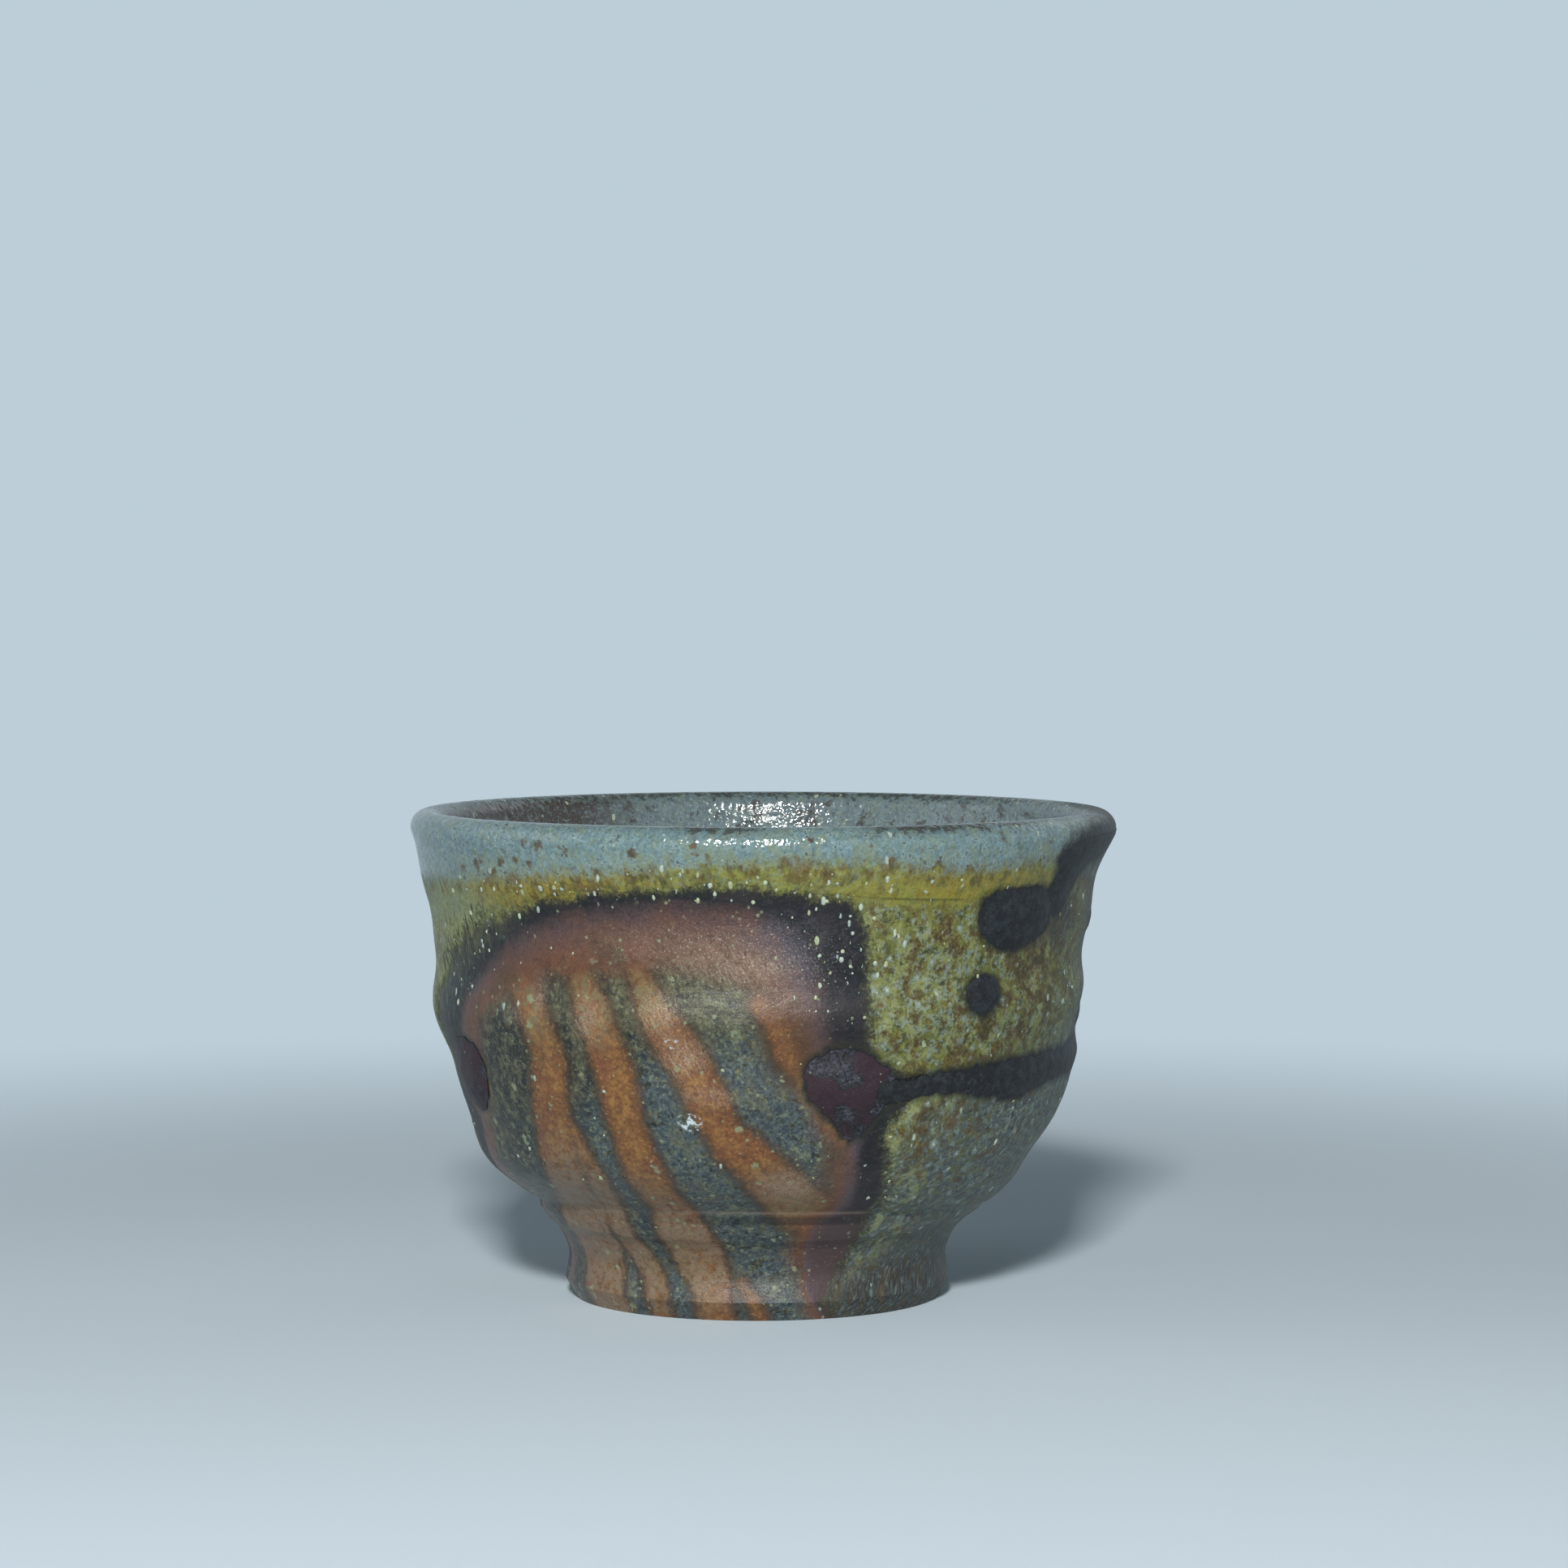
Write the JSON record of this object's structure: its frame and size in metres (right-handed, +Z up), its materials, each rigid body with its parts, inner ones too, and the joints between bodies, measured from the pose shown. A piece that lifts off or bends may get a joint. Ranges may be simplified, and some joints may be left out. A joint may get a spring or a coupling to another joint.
{
  "type": "guinomi sake cup",
  "caption": "Small wood-fired stoneware sake cup: a pressed, flared bowl on a turned foot ring, with ash glaze and glassy runs and beads.",
  "frame": {"origin": "on the table, below the middle of the lip", "axes": "+Z up out of the mouth, -Y towards the face with the straw marks, +X to its right"},
  "size_m": [0.0756, 0.0756, 0.0523],
  "materials": {
    "clay_body": "vitrified stoneware, dark olive to rust, with a soft sheen",
    "foot_clay": "vitrified stoneware, dark olive to rust, with a soft sheen",
    "lip_glass": "glossy blue-grey natural ash glaze",
    "ash_glaze": "mottled olive and mustard natural ash glaze",
    "inner_glass": "glossy grey-green ash glaze",
    "dark_glass": "near-black purple kiln glass"
  },
  "bodies": {
    "root": {"bowl": "clay_body", "foot_ring": "foot_clay", "lip_glaze": "lip_glass", "ash_coat": "ash_glaze", "inner_glaze": "inner_glass", "lower_run": "dark_glass", "upper_run": "dark_glass", "large_bead": "dark_glass", "left_bead": "dark_glass", "upper_bead": "dark_glass", "small_bead": "dark_glass", "side_beads": "dark_glass"}
  },
  "joints": []
}
